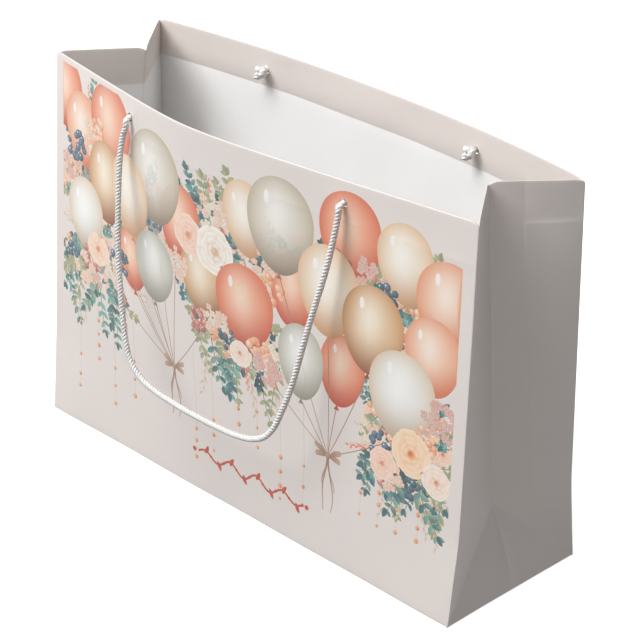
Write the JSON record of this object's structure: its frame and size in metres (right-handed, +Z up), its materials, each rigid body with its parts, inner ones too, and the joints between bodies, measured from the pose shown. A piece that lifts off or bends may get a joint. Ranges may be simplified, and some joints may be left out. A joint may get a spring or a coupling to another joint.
{
  "type": "gift bag",
  "caption": "Large landscape paper gift bag, standing open, with folded gussets, a turned-in top hem, knotted rope handles that swing and a loose base card.",
  "frame": {"origin": "middle of the base, on the surface the bag stands on", "axes": "+Z up, +X along the long way of the mouth towards the bag's right side, the front panel faces -Y"},
  "size_m": [0.4094, 0.1949, 0.2836],
  "materials": {
    "printed_paper": "satin coated, printed",
    "white_paper": "uncoated inner face",
    "card": "matt",
    "cord": "twisted, soft sheen"
  },
  "bodies": {
    "bag": {"front_panel": "printed_paper", "front_top_card": "card", "front_hem": "printed_paper", "back_panel": "printed_paper", "back_top_card": "card", "back_hem": "printed_paper", "right_gusset_front": "printed_paper", "right_gusset_front_hem": "printed_paper", "right_gusset_rear": "printed_paper", "right_gusset_rear_hem": "printed_paper", "left_gusset_front": "printed_paper", "left_gusset_front_hem": "printed_paper", "left_gusset_rear": "printed_paper", "left_gusset_rear_hem": "printed_paper", "right_base_triangle": "printed_paper", "left_base_triangle": "printed_paper", "side_seam_tab": "white_paper", "bottom_back_flap": "printed_paper", "bottom_front_flap": "printed_paper", "bottom_left_flap": "printed_paper", "bottom_right_flap": "printed_paper", "front_left_knot": "cord", "front_right_knot": "cord", "back_left_knot": "cord", "back_right_knot": "cord"},
    "front_handle": {"front_handle": "cord"},
    "back_handle": {"back_handle": "cord"},
    "base_card": {"base_card": "card"}
  },
  "joints": [
    {"name": "front_handle_swing", "type": "hinge", "parent": "bag", "child": "front_handle", "pos_m": [0, -0.06474, 0.268], "axis": [-0.9997, -0.0231, 0], "range_deg": [0, 170]},
    {"name": "back_handle_swing", "type": "hinge", "parent": "bag", "child": "back_handle", "pos_m": [0, 0.06722, 0.268], "axis": [1, 0, 0], "range_deg": [0, 170]},
    {"name": "base_card_lift", "type": "slide", "parent": "bag", "child": "base_card", "axis": [0, 0, 1], "range_m": [0, 0.015]}
  ]
}
